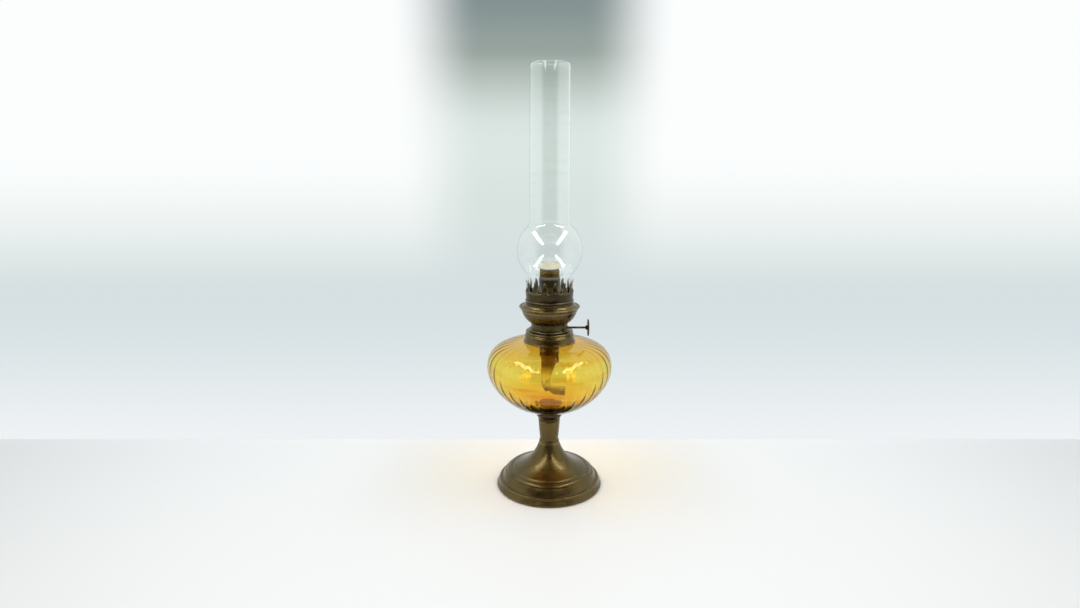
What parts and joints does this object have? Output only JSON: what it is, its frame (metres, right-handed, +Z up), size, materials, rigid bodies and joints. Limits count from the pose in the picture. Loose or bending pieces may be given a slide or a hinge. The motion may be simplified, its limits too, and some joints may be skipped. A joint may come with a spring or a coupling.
{
  "type": "kerosene lamp",
  "caption": "Table kerosene lamp: weighted brass foot, amber glass font, screw-in round-wick burner with a wick winder, and a lift-off glass chimney.",
  "frame": {"origin": "middle of the foot on the table surface", "axes": "+Z up along the lamp's axis, +X towards the wick knob, -Y towards the viewer of the picture"},
  "size_m": [0.153, 0.153, 0.5102],
  "materials": {
    "foot_brass": "aged brown patina over spun brass, soft gloss",
    "burner_brass": "tarnished sheet brass, brighter on the beads",
    "inner_brass": "dull unpolished brass inside the burner",
    "soot_brass": "brass darkened by heat and soot",
    "iron": "rough casting",
    "steel": "plain mild steel, slightly rusted",
    "plaster": "lamp plaster, off-white and matt",
    "amber_glass": "honey amber, glossy, with shallow vertical ribs",
    "clear_glass": "clear blown glass",
    "cotton": "woven cotton wick, cream, singed at the top edge"
  },
  "bodies": {
    "base": {"foot_shell": "foot_brass", "foot_ballast": "iron", "tie_rod": "steel", "tie_rod_washer": "steel", "tie_rod_nut": "steel", "stem_sleeve": "foot_brass", "font_cup": "foot_brass", "font_cement": "plaster", "font": "amber_glass", "collar": "burner_brass", "collar_cement": "plaster"},
    "screw_ring": {"burner_ring": "burner_brass"},
    "burner": {"burner_floor": "inner_brass", "burner_basket": "burner_brass", "gallery_ring": "burner_brass", "air_plate": "inner_brass", "crown": "burner_brass", "centring_sleeve": "soot_brass", "wick_tube": "soot_brass", "draught_tube": "inner_brass", "draught_port": "inner_brass", "spindle_bracket": "inner_brass", "spindle_bush": "burner_brass"},
    "winder": {"spindle": "burner_brass", "wick_gears": "inner_brass", "wick_knob": "burner_brass"},
    "wick_band": {"wick": "cotton"},
    "glass_chimney": {"chimney": "clear_glass"}
  },
  "joints": [
    {"name": "burner_rise", "type": "slide", "parent": "base", "child": "screw_ring", "axis": [0, 0, 1], "range_m": [0, 0.00721]},
    {"name": "burner_unscrew", "type": "hinge", "parent": "screw_ring", "child": "burner", "pos_m": [0, 0, 0.2], "axis": [0, 0, 1], "range_deg": [0, 1080]},
    {"name": "wick_turn", "type": "hinge", "parent": "burner", "child": "winder", "pos_m": [0, -0.01444, 0.20811], "axis": [1, 0, 0], "range_deg": [-115, 43.5]},
    {"name": "wick_rise", "type": "slide", "parent": "burner", "child": "wick_band", "axis": [0, 0, 1], "range_m": [-0.008, 0.003]},
    {"name": "chimney_lift", "type": "slide", "parent": "burner", "child": "glass_chimney", "axis": [0, 0, 1], "range_m": [0, 0.12]}
  ],
  "couplings": [
    {"joint": "burner_rise", "follows": "burner_unscrew", "m_per_rad": 0.00038197},
    {"joint": "wick_turn", "follows": "wick_rise", "rad_per_m": 250}
  ]
}
